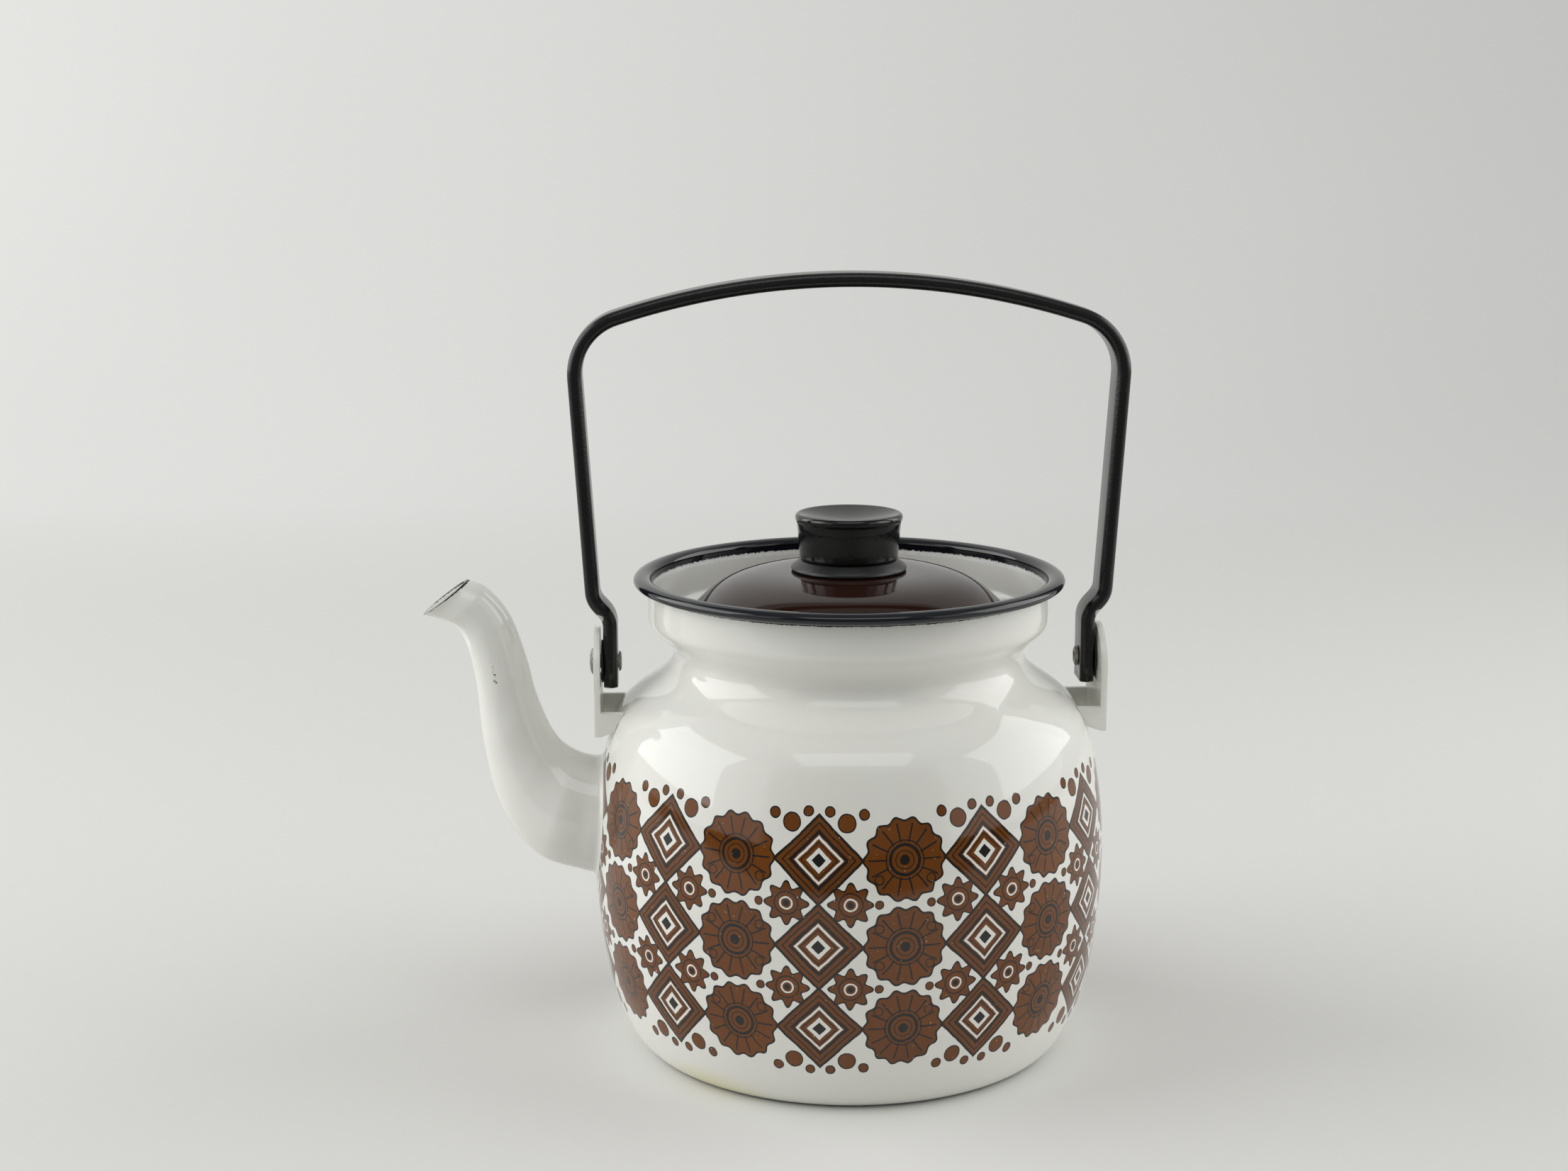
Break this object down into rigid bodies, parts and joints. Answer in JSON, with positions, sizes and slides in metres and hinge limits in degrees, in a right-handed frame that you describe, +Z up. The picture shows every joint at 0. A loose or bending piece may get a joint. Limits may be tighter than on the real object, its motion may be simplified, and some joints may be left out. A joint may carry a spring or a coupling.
{
  "type": "coffee pot",
  "caption": "Round-bellied enamelled coffee pot with a gooseneck spout, a loose domed lid with a knob, and a bail riveted to side ears.",
  "frame": {"origin": "middle of the flat base, on the surface the pot stands on", "axes": "+Z up; -X the way the spout pours; the bail and the spout lie in the XZ plane; +Y across"},
  "size_m": [0.2176, 0.16, 0.242],
  "materials": {
    "white_enamel": "glossy vitreous enamel on steel",
    "black_enamel": "glossy blue-black vitreous enamel",
    "brown_enamel": "glossy dark brown vitreous enamel",
    "black_coat": "satin black coating on bent steel",
    "black_plastic": "glossy black moulded plastic",
    "satin_plastic": "satin black moulded plastic",
    "dull_steel": "dull, slightly tarnished",
    "brass": "plain turned"
  },
  "bodies": {
    "pot": {"body_shell": "white_enamel", "rim_bead": "black_enamel", "spout": "white_enamel", "right_ear": "white_enamel", "left_ear": "white_enamel", "right_rivet": "dull_steel", "left_rivet": "dull_steel", "right_washer": "satin_plastic", "left_washer": "satin_plastic"},
    "bail": {"bail": "black_coat"},
    "lid": {"lid_shell": "brown_enamel", "knob_skirt": "satin_plastic", "knob": "black_plastic", "knob_insert": "brass", "knob_screw": "dull_steel", "screw_washer": "dull_steel"}
  },
  "joints": [
    {"name": "bail_swing", "type": "hinge", "parent": "pot", "child": "bail", "pos_m": [0, 0, 0.1218], "axis": [1, 0, 0], "range_deg": [-90, 90]},
    {"name": "lid_lift", "type": "slide", "parent": "pot", "child": "lid", "axis": [0, 0, 1], "range_m": [0, 0.045]}
  ]
}
